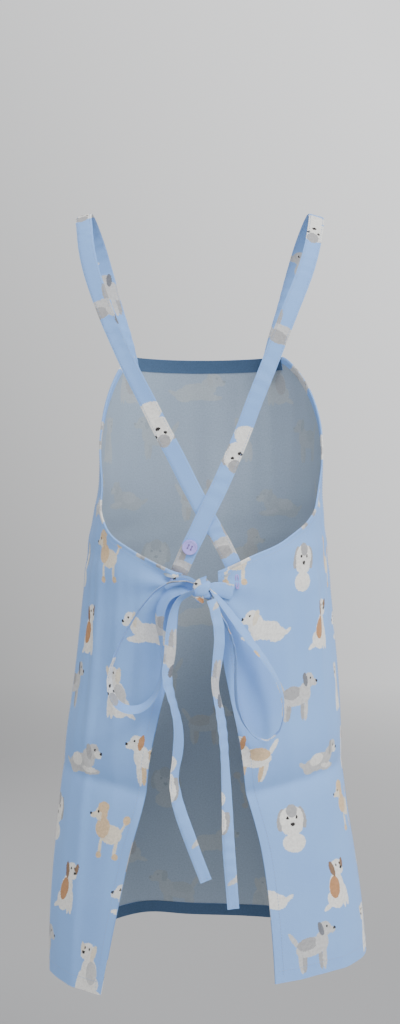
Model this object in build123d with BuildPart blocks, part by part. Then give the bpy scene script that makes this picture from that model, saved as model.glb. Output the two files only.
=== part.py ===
"""Cross-back cloth apron that ties behind the waist, modelled as it hangs when worn.

Millimetres. +Z is up, the bib faces -Y, the ties and the open back face +Y, +X is the wearer's left.
The origin is the middle of the line between the two straps' undersides on the shoulders.
"""

from build123d import *
import math
import os

os.makedirs("parts", exist_ok=True)

# cloth
CLOTH = 1.2  # single cloth
DOUBLED = 2.0  # hems, bindings
STITCH = 0.7  # thread lying on the cloth
HEM_Z = -925.0  # lower edge, all round
HEM_DEPTH = 17.0
BIB_TOP_Z = -165.0
BIB_HEM_DEPTH = 18.0
BINDING = 8.0  # armhole binding
EDGE_HEM = 12.0  # hem along each back edge

# the hanging cloth, level by level: height, half-width, half-depth, centre in Y
LEVELS = [
    (-140, 115, 99, -15),
    (-255, 130.5, 125, -12),
    (-370, 141, 122, -4),
    (-485, 159, 126, -0.5),
    (-600, 170, 133, -3),
    (-715, 182.5, 141, -5.5),
    (-830, 195, 148, -8),
    (-945, 205, 153, -10),
]

# armhole edge from the bib corner to the waist corner: distance along the diagonal, height
ARMHOLE = [
    (-124, -135),
    (-120, -165),
    (-113, -205),
    (-102, -250),
    (-88, -300),
    (-75, -335),
    (-54, -366),
    (-33, -385),
    (-6, -403),
    (14, -414),
    (40, -428),
    (66, -441),
    (90, -452),
]

# back edge of the left skirt panel, from the waist down: X, height
BACK_EDGE = [
    (21, -470),
    (24, -500),
    (30, -550),
    (42, -600),
    (54, -650),
    (64, -700),
    (77, -760),
    (87.5, -810),
    (95, -860),
    (103.5, -925),
    (106, -950),
]

# line along which each lower back corner swings: X, height
SWING_TOP = (49.5, -628)
SWING_FOOT = (166, -930)
SWING_GAP = 3.0

# straps
STRAP_WIDTH = 20.0
STRAP_THICK = 1.6
STRAP_LIFT = 2.6  # how far one strap rides over the other where they cross

# ties
TIE_WIDTH = 14.0
TIE_THICK = 1.2
KNOT_AT = (-7, 134, -462)
KNOT_RADIUS = 13.0
KNOT_HALF_HEIGHT = 18.0
LOOP_Y = 137.7
LEFT_TAIL_Y = 148.3
RIGHT_TAIL_Y = 151.6

# buttons
BUTTON_RADIUS = 9.0
BUTTON_THICK = 2.6
BUTTON_HOLE = 1.0
BUTTON_HOLE_AT = 2.1


def keep(part, name):
    """Label one finished piece and write it."""
    part.label = name
    export_step(part, f"parts/{name}.step")


def shell(outside, inside):
    """The hanging cloth's skin between two offsets from its outer surface."""
    with BuildPart() as skin:
        for height, half_width, half_depth, centre in LEVELS:
            with BuildSketch(Plane.XY.offset(height)):
                with Locations((0, centre)):
                    Ellipse(half_depth + outside, half_width + outside, rotation=90)
        loft()
        for height, half_width, half_depth, centre in LEVELS:
            with BuildSketch(Plane.XY.offset(height)):
                with Locations((0, centre)):
                    Ellipse(half_depth - inside, half_width - inside, rotation=90)
        loft(mode=Mode.SUBTRACT)
    return skin.part


def shifted(points, distance):
    """A row of points moved sideways, to the left of the direction in which they run."""
    moved = []
    for i, (u, v) in enumerate(points):
        before = points[max(i - 1, 0)]
        after = points[min(i + 1, len(points) - 1)]
        du = after[0] - before[0]
        dv = after[1] - before[1]
        length = math.hypot(du, dv)
        moved.append((u - dv / length * distance, v + du / length * distance))
    return moved


def armhole_space(margin):
    """Everything above the left armhole's edge, and that far below it."""
    diagonal = Plane(origin=(0, 0, 0), x_dir=(-1, 1, 0), z_dir=(1, 1, 0))
    edge = shifted(ARMHOLE, -margin)
    with BuildPart() as space:
        with BuildSketch(diagonal):
            with BuildLine():
                Spline(*edge)
                Polyline(edge[-1], (edge[-1][0], 0), (edge[0][0], 0), edge[0])
            make_face()
        extrude(amount=200)
    return space.part


def back_space(margin):
    """The open back between the two skirt panels, and that far into each."""
    edge = [(21 + margin, -100)] + shifted(BACK_EDGE, margin)
    other = [(-u, v) for u, v in edge]
    with BuildPart() as space:
        with BuildSketch(Plane.XZ):
            with BuildLine():
                Line(edge[0], edge[1])
                Spline(*edge[1:])
                Line(edge[-1], other[-1])
                Spline(*other[1:])
                Line(other[0], other[1])
                Line(other[0], edge[0])
            make_face()
        extrude(amount=-220)
    return space.part


def block(low, high):
    """An upright box between two corners."""
    size = [b - a for a, b in zip(low, high)]
    middle = [(a + b) / 2 for a, b in zip(low, high)]
    with BuildPart() as box:
        with Locations(Location(tuple(middle))):
            Box(*size)
    return box.part


def beside_swing_line(gap, inner):
    """The left back skirt on one side of the line about which its lower corner swings."""
    (top_x, top_z), (foot_x, foot_z) = shifted([SWING_TOP, SWING_FOOT], gap)
    slope = (foot_x - top_x) / (foot_z - top_z)
    high = (top_x + slope * (-300 - top_z), -300)
    low = (top_x + slope * (-1000 - top_z), -1000)
    side = 0 if inner else 400
    with BuildPart() as space:
        with BuildSketch(Plane.XZ):
            with BuildLine():
                if inner:
                    top = (top_x, top_z)
                    Polyline(top, low, (side, -1000), (side, top_z), top)
                else:
                    Polyline(high, low, (side, -1000), (side, -300), high)
            make_face()
        extrude(amount=-220)
    return space.part


def cut(stock, inside=(), outside=()):
    """The part of a skin that is inside every one of some spaces and outside the others."""
    with BuildPart() as piece:
        add(stock)
        for space in inside:
            add(space, mode=Mode.INTERSECT)
        for space in outside:
            add(space, mode=Mode.SUBTRACT)
    return piece.part


def mirrored(part):
    """The same piece on the wearer's other side."""
    with BuildPart() as other:
        mirror(part, about=Plane.YZ)
    return other.part


single = shell(0, CLOTH)
doubled = shell(0, DOUBLED)
thread_skin = shell(STITCH, 0)

left_armhole = armhole_space(0)
left_armhole_bound = armhole_space(BINDING)
right_armhole = mirrored(left_armhole)
right_armhole_bound = mirrored(left_armhole_bound)
opening = back_space(0)
opening_bound = back_space(EDGE_HEM)

front = block((-300, -300, -1000), (300, 0, 0))
left_back = block((0, 0, -1000), (300, 300, 0))
above_hem = block((-300, -300, HEM_Z + HEM_DEPTH), (300, 300, 0))
hem_band = block((-300, -300, HEM_Z), (300, 300, HEM_Z + HEM_DEPTH))
below_bib_top = block((-300, -300, -1000), (300, 300, BIB_TOP_Z))
below_bib_hem = block((-300, -300, -1000), (300, 300, BIB_TOP_Z - BIB_HEM_DEPTH))
bib_hem_band = block((-300, -300, BIB_TOP_Z - BIB_HEM_DEPTH), (300, 300, BIB_TOP_Z))
corner_side = beside_swing_line(0, True)
skirt_side = beside_swing_line(SWING_GAP, False)

# the stitched buttonhole beside each waist corner: X, height
BUTTONHOLE_AT = {"left": (33, -457), "right": (-43, -451)}
BUTTONHOLE_LENGTH = 17.0
BUTTONHOLE_WIDTH = 2.6


def slot_space(centre, length, width):
    """An upright slot through a waist corner."""
    with BuildPart() as slot:
        with BuildSketch(Plane.XZ):
            with Locations(centre):
                SlotOverall(length, width, rotation=90)
        extrude(amount=-220)
    return slot.part


# front of the apron
front_panel = cut(single, [front, above_hem, below_bib_hem], [left_armhole_bound, right_armhole_bound])
keep(front_panel, "front_panel")
front_bottom_hem = cut(doubled, [front, hem_band])
keep(front_bottom_hem, "front_bottom_hem")
bib_top_hem = cut(doubled, [front, bib_hem_band], [left_armhole_bound, right_armhole_bound])
keep(bib_top_hem, "bib_top_hem")

# each side's binding and skirt panel, and the lower corner that swings
left_pieces = {
    "armhole_binding": cut(
        doubled,
        [left_armhole_bound, below_bib_top],
        [left_armhole, opening],
    ),
    "back_panel": cut(
        single,
        [left_back, above_hem, skirt_side],
        [left_armhole_bound, opening_bound],
    ),
    "back_edge_hem": cut(
        doubled,
        [left_back, opening_bound, above_hem, skirt_side],
        [left_armhole_bound, opening],
    ),
    "back_bottom_hem": cut(doubled, [left_back, hem_band, skirt_side]),
    "corner_panel": cut(single, [left_back, above_hem, corner_side], [opening_bound]),
    "corner_edge_hem": cut(
        doubled,
        [left_back, opening_bound, above_hem, corner_side],
        [opening],
    ),
    "corner_bottom_hem": cut(doubled, [left_back, hem_band, corner_side], [opening]),
}
for side in ("left", "right"):
    buttonhole = slot_space(BUTTONHOLE_AT[side], BUTTONHOLE_LENGTH, BUTTONHOLE_WIDTH)
    border = slot_space(BUTTONHOLE_AT[side], BUTTONHOLE_LENGTH + 4, BUTTONHOLE_WIDTH + 4)
    back = block((-300, 0, -1000), (300, 300, 0))
    for piece_name, piece in left_pieces.items():
        if side == "right":
            piece = mirrored(piece)
        if piece_name in ("back_panel", "back_edge_hem"):
            piece = cut(piece, [], [buttonhole])
        keep(piece, f"{side}_{piece_name}")
    keep(cut(thread_skin, [back, border], [buttonhole]), f"{side}_buttonhole_stitching")

# strap from the bib corner over the left shoulder to the right waist corner: place, outward direction
STRAP_PATH = [
    ((86, -89.5, -196), (0.60, -0.80, 0.05)),
    ((91, -79.5, -170), (0.60, -0.80, 0.08)),
    ((99, -79, -140), (0.50, -0.86, 0.05)),
    ((111, -83, -102), (0.42, -0.90, 0.10)),
    ((122, -79, -62), (0.38, -0.88, 0.30)),
    ((132, -63, -28), (0.34, -0.65, 0.70)),
    ((140, -36, -6), (0.30, -0.30, 0.92)),
    ((144, -4, 0.8), (0.26, 0.02, 0.97)),
    ((144, 24, -6), (0.26, 0.32, 0.90)),
    ((141, 45, -24), (0.28, 0.62, 0.72)),
    ((136, 63, -52), (0.30, 0.85, 0.42)),
    ((127, 78, -85), (0.30, 0.92, 0.28)),
    ((111, 92, -128), (0.26, 0.95, 0.18)),
    ((96, 100, -165), (0.22, 0.97, 0.12)),
    ((79, 105, -205), (0.18, 0.98, 0.07)),
    ((63, 108, -240), (0.14, 0.99, 0.05)),
    ((49, 110, -272), (0.10, 0.99, 0.05)),
    ((33, 112, -306), (0.06, 1.00, 0.05)),
    ((17, 114, -340), (0.03, 1.00, 0.04)),
    ((1.5, 115.5, -370), (0.00, 1.00, 0.03)),
    ((-11, 116.5, -394), (-0.02, 1.00, 0.03)),
    ((-20, 116.6, -411), (-0.08, 1.00, 0.02)),
    ((-29, 114.6, -430), (-0.18, 0.98, 0.00)),
    ((-37, 114.6, -449), (-0.22, 0.97, 0.00)),
    ((-44, 114.0, -468), (-0.24, 0.97, 0.00)),
]
UPPER_BUTTON_STATION = 21
LOWER_BUTTON_STATION = 23
# the strap that passes over rides higher at the crossing and deeper behind the corner
OVER_LIFT = {17: 1.0, 18: 2.2, 19: STRAP_LIFT, 20: STRAP_LIFT, 21: 2.0, 22: 1.0, 23: -2.4, 24: -3.6}
# the crossing hangs off the middle: how far each strap stands from its mirrored path
SKEW = [0] * 9 + [0, 1, 2, 3, 2.5, 1, -1, -3, -5, -6, -6.5, -8, -8.5, -9, -9, -9]


def strap_planes(side, over):
    """A plane across the strap at each place on its way, with its X along the strap's width."""
    places = []
    for i, ((x, y, z), (nx, ny, nz)) in enumerate(STRAP_PATH):
        lift = OVER_LIFT.get(i, 0) if over else 0
        places.append((Vector(side * x + SKEW[i], y + lift, z), Vector(side * nx, ny, nz)))
    planes = []
    for i, (place, outward) in enumerate(places):
        before = places[max(i - 1, 0)][0]
        after = places[min(i + 1, len(places) - 1)][0]
        along = (after - before).normalized()
        across = outward.cross(along).normalized()
        planes.append(Plane(origin=place, x_dir=across, z_dir=along))
    return planes


def strap(side, over):
    """One shoulder strap, a flat folded band."""
    with BuildPart() as band:
        for across in reversed(strap_planes(side, over)):
            with BuildSketch(across):
                Rectangle(STRAP_WIDTH, STRAP_THICK)
        loft(ruled=True)
    return band.part


def face_plane(side, over, station, outward, gap):
    """A plane on a strap's outer (1) or inner (-1) face, with its Z pointing away from the strap."""
    across = strap_planes(side, over)[station]
    away = across.z_dir.cross(across.x_dir).normalized() * outward
    if away.Y * outward < 0:
        away = away * -1
    return Plane(origin=across.origin + away * (STRAP_THICK / 2 + gap), x_dir=across.z_dir, z_dir=away)


def button(seat):
    """A round button with a raised rim and four holes."""
    with BuildPart() as disc:
        with BuildSketch(seat):
            Circle(BUTTON_RADIUS)
        extrude(amount=BUTTON_THICK)
        fillet(disc.edges().filter_by(GeomType.CIRCLE), radius=0.7)
        with BuildSketch(seat.offset(BUTTON_THICK)):
            Circle(BUTTON_RADIUS - 2.2)
        extrude(amount=-0.7, mode=Mode.SUBTRACT)
        with BuildSketch(seat):
            with PolarLocations(BUTTON_HOLE_AT * math.sqrt(2), 4, start_angle=45):
                Circle(BUTTON_HOLE)
        extrude(amount=BUTTON_THICK, mode=Mode.SUBTRACT)
    return disc.part


def button_thread(seat):
    """The stitches through a button's four holes, joined above and below it."""
    top = BUTTON_THICK - 0.7
    with BuildPart() as stitches:
        with BuildSketch(seat):
            with PolarLocations(BUTTON_HOLE_AT * math.sqrt(2), 4, start_angle=45):
                Circle(0.55)
        extrude(amount=top + 0.4)
        with BuildSketch(seat.offset(top)):
            with Locations((0, BUTTON_HOLE_AT), (0, -BUTTON_HOLE_AT)):
                SlotOverall(2 * BUTTON_HOLE_AT + 1.1, 1.1)
        extrude(amount=0.6)
        with BuildSketch(seat):
            Circle(BUTTON_HOLE_AT * math.sqrt(2) + 0.7)
        extrude(amount=-0.5)
    return stitches.part


keep(strap(1, False), "left_strap")
keep(strap(-1, True), "right_strap")

# the right strap passes over and wears its buttons outside; the left strap wears them inside
seats = {
    "right_upper": face_plane(-1, True, UPPER_BUTTON_STATION, 1, 0.9),
    "right_lower": face_plane(-1, True, LOWER_BUTTON_STATION, 1, 0.9),
    "left_upper": face_plane(1, False, UPPER_BUTTON_STATION, -1, 0.9),
    "left_lower": face_plane(1, False, LOWER_BUTTON_STATION, -1, 0.9),
}
for seat_name, seat in seats.items():
    keep(button(seat), f"{seat_name}_button")
    keep(button_thread(seat), f"{seat_name}_button_thread")
    print(seat_name, "button seat", [round(v, 1) for v in seat.origin], [round(v, 3) for v in seat.z_dir])


# where each strap is sewn inside its bib corner, a square of stitching shows on the outside
def box_stitch():
    """The square of stitching at the left bib corner."""
    facing = Plane(origin=(90, -84, -186), x_dir=(0.8, 0.6, 0), z_dir=(0.6, -0.8, 0))
    with BuildPart() as column:
        with BuildSketch(facing.offset(-12)):
            Rectangle(16, 16)
            Rectangle(14.4, 14.4, mode=Mode.SUBTRACT)
            for tilt in (45, -45):
                Rectangle(20.6, 0.8, rotation=tilt)
        extrude(amount=24)
    return cut(thread_skin, [column.part])


left_stitch = box_stitch()
keep(left_stitch, "left_strap_box_stitch")
keep(mirrored(left_stitch), "right_strap_box_stitch")


def crooked(points, limit=1e9):
    """The bend radius at each inner point of a route."""
    radii = []
    for before, here, after in zip(points, points[1:], points[2:]):
        a = Vector(*here) - Vector(*before)
        b = Vector(*after) - Vector(*here)
        turn = math.radians(a.get_angle(b))
        radii.append(min(limit, 0.45 * min(a.length, b.length) / math.tan(turn / 2)))
    return radii


def ribbon(points, level, on_edge):
    """A flat tie along a route of (X, Z) points at one depth, standing on its edge or lying flat."""
    route = [(x, level, z) for x, z in points]
    radii = crooked(route)
    with BuildPart() as tie:
        with BuildLine() as way:
            FilletPolyline(*route, radius=radii)
        start = Vector(*route[0])
        along = (Vector(*route[1]) - start).normalized()
        with BuildSketch(Plane(origin=start, x_dir=(0, 1, 0), z_dir=along)):
            if on_edge:
                Rectangle(TIE_WIDTH, TIE_THICK)
            else:
                Rectangle(TIE_THICK, TIE_WIDTH)
        sweep(path=way.wires()[0])
    length = way.wires()[0].length
    print("ribbon length", round(length, 1), "radii", [round(r, 1) for r in radii])
    print("  volume over section x length", round(tie.part.volume / (TIE_WIDTH * TIE_THICK * length), 4))
    return tie.part


# the knot and the two ties that meet in it
with BuildPart() as knot:
    with BuildSketch(Plane(origin=KNOT_AT, x_dir=(1, 0, 0), z_dir=(0, -1, 0))):
        Ellipse(KNOT_RADIUS, KNOT_HALF_HEIGHT)
        with Locations((-KNOT_RADIUS, 0)):
            Rectangle(2 * KNOT_RADIUS, 2 * KNOT_HALF_HEIGHT, mode=Mode.SUBTRACT)
    revolve(axis=Axis(KNOT_AT, (0, 0, 1)))
keep(knot.part, "knot")


def tie_stub(near):
    """The short run of a tie from where it is sewn on the waist corner to the knot."""
    far = shifted(near, 1.2)
    with BuildPart() as stub:
        with BuildSketch(Plane.XY.offset(-481)):
            with BuildLine():
                Polyline(*near, *reversed(far), near[0])
            make_face()
        extrude(amount=TIE_WIDTH)
    return stub.part


keep(tie_stub([(3.5, 130.5), (22, 126.2), (30, 125), (39, 123.2)]), "left_tie_stub")
keep(tie_stub([(-39, 123.2), (-30, 125), (-23, 126.4), (-18.5, 129)]), "right_tie_stub")

LEFT_LOOP = [
    (2, -453),
    (22, -448),
    (45, -455),
    (65, -475),
    (85, -506),
    (99, -535),
    (106, -566),
    (98, -592),
    (76, -600),
    (55, -589),
    (43, -560),
    (43.5, -525),
    (48, -495),
    (42, -469),
    (23, -458),
    (3, -461),
]
RIGHT_LOOP = [
    (-12, -459),
    (-24, -473),
    (-40, -494),
    (-59, -520),
    (-77, -543),
    (-92, -568),
    (-98, -598),
    (-92, -625),
    (-73, -636),
    (-54, -622),
    (-42, -595),
    (-41, -562),
    (-41.5, -532),
    (-33, -506),
    (-22, -486),
    (-12, -468),
]
LEFT_TAIL = [
    (6, -461),
    (19, -465),
    (29, -478),
    (33, -502),
    (34, -532),
    (39, -560),
    (31, -587),
    (24, -615),
    (25, -648),
    (31, -677),
    (25, -708),
    (13, -741),
    (3, -768),
    (-7, -793),
]
RIGHT_TAIL = [
    (-13, -470),
    (-20, -490),
    (-23, -514),
    (-20, -541),
    (-16, -568),
    (-23, -597),
    (-27, -628),
    (-29, -664),
    (-31, -704),
    (-32, -744),
    (-35, -784),
    (-38, -822),
]
keep(ribbon(LEFT_LOOP, LOOP_Y, True), "left_loop")
keep(ribbon(RIGHT_LOOP, LOOP_Y, True), "right_loop")
for tail_name, tail_route, tail_level in (
    ("left_tail", LEFT_TAIL, LEFT_TAIL_Y),
    ("right_tail", RIGHT_TAIL, RIGHT_TAIL_Y),
):
    tail = ribbon(tail_route, tail_level, False)
    keep(tail, tail_name)
    print(tail_name, "centre of mass", [round(v, 2) for v in tail.center(CenterOf.MASS)])

weighed = [left_pieces[name] for name in ("corner_panel", "corner_edge_hem", "corner_bottom_hem")]
total = sum(solid.volume for solid in weighed)
centre = sum((solid.center(CenterOf.MASS) * solid.volume for solid in weighed), Vector()) / total
print("swinging corner's centre of mass", [round(v, 2) for v in centre])
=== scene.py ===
import math

import bpy
import numpy as np
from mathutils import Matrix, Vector


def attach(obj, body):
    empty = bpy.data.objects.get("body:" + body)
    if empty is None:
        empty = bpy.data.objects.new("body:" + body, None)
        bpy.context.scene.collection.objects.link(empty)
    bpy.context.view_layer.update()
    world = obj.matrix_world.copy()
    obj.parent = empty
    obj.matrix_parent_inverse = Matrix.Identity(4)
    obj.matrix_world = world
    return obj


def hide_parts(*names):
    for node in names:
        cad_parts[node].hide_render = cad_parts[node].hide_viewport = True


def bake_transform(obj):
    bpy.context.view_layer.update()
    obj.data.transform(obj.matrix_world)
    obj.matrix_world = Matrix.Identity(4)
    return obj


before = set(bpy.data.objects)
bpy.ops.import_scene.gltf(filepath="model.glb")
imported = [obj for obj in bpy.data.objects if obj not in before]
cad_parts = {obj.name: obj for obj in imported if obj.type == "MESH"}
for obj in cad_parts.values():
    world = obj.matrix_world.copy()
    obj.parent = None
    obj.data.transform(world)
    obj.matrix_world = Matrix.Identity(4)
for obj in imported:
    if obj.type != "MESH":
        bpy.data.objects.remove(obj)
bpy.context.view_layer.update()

MM = 0.001
SIDES = ("left", "right")


class Recipe:
    """A material's, a node group's or the world's nodes, added one at a time."""

    def __init__(self, tree):
        self.tree = tree
        self.tree.nodes.clear()

    def feed(self, socket, value):
        """Sets a socket to a number or a colour, or links it to a node or to one of its outputs."""
        if isinstance(value, bpy.types.Node):
            value = value.outputs[0]
        if isinstance(value, bpy.types.NodeSocket):
            self.tree.links.new(value, socket)
        else:
            socket.default_value = value

    def node(self, kind, sockets=None, **settings):
        made = self.tree.nodes.new("ShaderNode" + kind)
        for key, value in settings.items():
            setattr(made, key, value)
        for key, value in (sockets or {}).items():
            self.feed(made.inputs[key], value)
        return made

    def math(self, operation, *values):
        return self.node("Math", dict(enumerate(values)), operation=operation).outputs[0]

    def mix(self, amount, a, b, blend="MIX"):
        made = self.node("Mix", {}, data_type="RGBA", blend_type=blend)
        for slot, value in ((0, amount), (6, a), (7, b)):
            self.feed(made.inputs[slot], value)
        return made.outputs[2]

    def toned(self, colour, grey):
        """A colour made darker or lighter by a number."""
        return self.mix(1.0, colour, self.node("CombineColor", {0: grey, 1: grey, 2: grey}), "MULTIPLY")

    def noise(self, vector, scale, detail=3.0, rough=0.5):
        return self.node("TexNoise", {"Vector": vector, "Scale": scale, "Detail": detail, "Roughness": rough})

    def remap(self, value, low, high, to_low, to_high):
        return self.node("MapRange", dict(enumerate((value, low, high, to_low, to_high)))).outputs[0]

    def speckle(self, vector, scale, detail, low, high):
        """A fine uneven tone between two values."""
        return self.remap(self.noise(vector, scale, detail), 0.3, 0.7, low, high)

    def bump(self, height, strength, distance):
        return self.node("Bump", {"Height": height, "Strength": strength, "Distance": distance})


# ---------------------------------------------------------------- camera, world and lights


def stand(name, data, place, turn):
    made = bpy.data.objects.new(name, data)
    made.location = place
    made.rotation_euler = turn
    bpy.context.collection.objects.link(made)
    return made


def set_camera():
    data = bpy.data.cameras.new("camera")
    data.sensor_fit = "VERTICAL"
    data.sensor_height = 36.0
    data.lens = 46.5
    turn = (math.radians(90), 0, math.radians(180))
    bpy.context.scene.camera = stand("camera", data, (0.0, 1.66, -0.37), turn)


def soft_light(name, place, aim, size, power, colour=(1, 1, 1)):
    data = bpy.data.lights.new(name, "AREA")
    data.shape = "DISK"
    data.size = size
    data.energy = power
    data.color = colour
    stand(name, data, place, (Vector(aim) - Vector(place)).to_track_quat("-Z", "Y").to_euler())


def studio():
    """The pale daylight of a room, brighter above and to one side."""
    world = bpy.data.worlds.new("studio")
    bpy.context.scene.world = world
    world.use_nodes = True
    r = Recipe(world.node_tree)
    way = r.node("SeparateXYZ", {0: r.node("TexCoord").outputs["Generated"]})
    rising = r.math("MULTIPLY_ADD", way.outputs["Z"], 1.0, 0.85)
    sideways = r.math("MULTIPLY_ADD", way.outputs["X"], -1.5, rising)
    strength = r.math("MINIMUM", r.math("MAXIMUM", sideways, 0.40), 1.35)
    sky = r.node("Background", {"Strength": strength, "Color": (0.985, 0.99, 1.0, 1)})
    r.node("OutputWorld", {0: sky})
    soft_light("key", (-1.6, 2.1, 1.7), (0, 0, -0.45), 1.3, 64)
    soft_light("fill", (2.3, 1.9, 0.5), (0, 0, -0.45), 2.2, 21, (0.97, 0.98, 1))
    soft_light("low_fill", (0.25, 2.3, -1.0), (0, -0.1, -0.8), 1.2, 7)
    soft_light("front_fill", (0.6, -2.4, 0.9), (0, 0, -0.5), 2.0, 30)


set_camera()
studio()

# ---------------------------------------------------------------- the printed cloth
BLUE = (0.252, 0.462, 0.89, 1)
WHITE = (0.86, 0.85, 0.81, 1)
CREAM = (0.80, 0.73, 0.60, 1)
TAN = (0.72, 0.53, 0.33, 1)
RUST = (0.52, 0.27, 0.13, 1)
BROWN = (0.27, 0.17, 0.11, 1)
GREY = (0.40, 0.40, 0.41, 1)
PALE_GREY = (0.60, 0.60, 0.60, 1)
SLATE = (0.20, 0.21, 0.24, 1)
DARK = (0.035, 0.03, 0.03, 1)

# Little dogs, each a stack of ovals: centre, half-sizes, turn in degrees, paint. Millimetres.


def standing(coat, patch, ear):
    return [
        (-19, 9, 2.4, 9, 32, coat), (-13, -12, 3.0, 10.5, 6, coat), (-9, -12, 2.6, 10, -4, patch),
        (9, -12, 2.5, 10.5, 3, patch), (13.5, -12, 2.6, 11, -3, coat), (0, 0, 18, 8.6, 4, coat),
        (-5, 3.5, 11.5, 6, 4, patch), (12, 3, 7.5, 9.5, 0, coat), (17, 14, 7.6, 6.8, 0, coat),
        (24, 11.6, 5.2, 3.3, -8, coat), (12.2, 14.5, 3.0, 6.6, 14, ear), (28.2, 12.6, 1.6, 1.4, 0, DARK),
        (19.4, 15.6, 1.1, 1.1, 0, DARK),
    ]


def sitting(coat, patch, ear):
    return [
        (-14, -20, 8.5, 2.4, 24, coat), (-5, -15, 10.5, 8.5, -20, coat), (-1, -5, 10, 15, -10, coat),
        (-4, -4, 6.5, 10.5, -12, patch), (6, -14, 2.8, 11, 0, coat), (10, -14, 2.7, 10.5, 4, coat),
        (4, 14, 8.6, 7.8, 0, coat), (-3.2, 13.5, 3.1, 7.6, 12, ear), (10.4, 15.2, 2.6, 6.8, -16, ear),
        (7, 11, 5.2, 4.2, -10, WHITE), (9.4, 12.8, 1.9, 1.5, 0, DARK), (2.6, 16.2, 1.1, 1.2, 0, DARK),
        (8.2, 17.0, 1.1, 1.2, 0, DARK),
    ]


def lying(coat, patch, ear):
    return [
        (-25, -8, 8, 2.2, -28, coat), (-15, -9, 10, 7.2, 0, coat), (-2, -5.5, 19, 8.6, 6, coat),
        (-8, -3, 9.5, 5.8, 4, patch), (14, -12, 11, 2.7, 2, coat), (11, -10, 10, 2.6, -6, patch),
        (11, 0, 8, 8.6, 20, coat), (17, 6, 7.6, 6.8, 0, coat), (23.4, 3.4, 4.9, 3.4, -12, WHITE),
        (12.3, 6, 3.0, 7.2, 10, ear), (27, 4.6, 1.6, 1.4, 0, DARK), (19.4, 7.8, 1.1, 1.1, 0, DARK),
    ]


def shaggy(coat, patch, ear):
    return [
        (0, -17, 12.5, 9, 0, coat), (0, -15, 8, 9.5, 0, WHITE), (-11.5, 5, 4.4, 10.5, -14, ear),
        (11.5, 5, 4.4, 10.5, 14, ear), (0, 5, 13, 12, 0, coat), (0, 12.5, 6, 6, 0, patch),
        (-5.5, -2.5, 6.2, 6.4, 20, WHITE), (5.5, -2.5, 6.2, 6.4, -20, WHITE), (0, 0.2, 2.3, 1.7, 0, DARK),
        (-4.9, 6.2, 1.4, 1.5, 0, DARK), (4.9, 6.2, 1.4, 1.5, 0, DARK),
    ]


def curly(coat, patch, ear):
    return [
        (-14, 5, 1.3, 6.5, 24, coat), (-16.4, 11.5, 3.9, 3.9, 0, patch), (-9, -14, 1.9, 9, 6, coat),
        (8, -14, 1.9, 9, 2, coat), (-10, -21, 3.3, 2.9, 0, patch), (8.6, -21, 3.3, 2.9, 0, patch),
        (-2, -2, 12, 8.4, 6, coat), (8, 3, 8.2, 9, 0, patch), (12.5, 15, 6.8, 6.6, 0, coat),
        (10.6, 20.6, 6.6, 5.0, 0, patch), (19.4, 13, 5.2, 2.5, -8, coat), (8.2, 12.6, 3.5, 6.8, 8, ear),
        (24.2, 13.8, 1.4, 1.2, 0, DARK), (15.6, 16.4, 1.1, 1.1, 0, DARK),
    ]


# the eight places of the repeat, two across and four down: facing (1 or -1) and ovals
DOGS = [
    (1, standing(PALE_GREY, GREY, SLATE)),
    (-1, sitting(WHITE, PALE_GREY, CREAM)),
    (-1, lying(WHITE, WHITE, CREAM)),
    (1, sitting(WHITE, RUST, BROWN)),
    (1, shaggy(WHITE, GREY, GREY)),
    (-1, curly(CREAM, TAN, TAN)),
    (-1, standing(WHITE, TAN, RUST)),
    (1, lying(PALE_GREY, WHITE, GREY)),
]
# the print's cells, how large the dogs are in them and how far they stray from the middle, in millimetres
ACROSS = 115
DOWN = 77.5
DOG_SIZE = 1.3
STRAY_ACROSS = 7.0
STRAY_DOWN = 4.8


def oval_reach(r, place, cx, cy, rx, ry, turn):
    """How far a place is from an oval's middle, squared, where its edge is 1."""
    c, s = math.cos(math.radians(turn)), math.sin(math.radians(turn))
    long_way = (c / rx / DOG_SIZE, s / rx / DOG_SIZE, -(cx * c + cy * s) / rx)
    short_way = (-s / ry / DOG_SIZE, c / ry / DOG_SIZE, (cx * s - cy * c) / ry)
    u, v = (
        r.node("VectorMath", {0: place, 1: way}, operation="DOT_PRODUCT").outputs["Value"]
        for way in (long_way, short_way)
    )
    return r.math("MULTIPLY_ADD", u, u, r.math("MULTIPLY", v, v))


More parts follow.
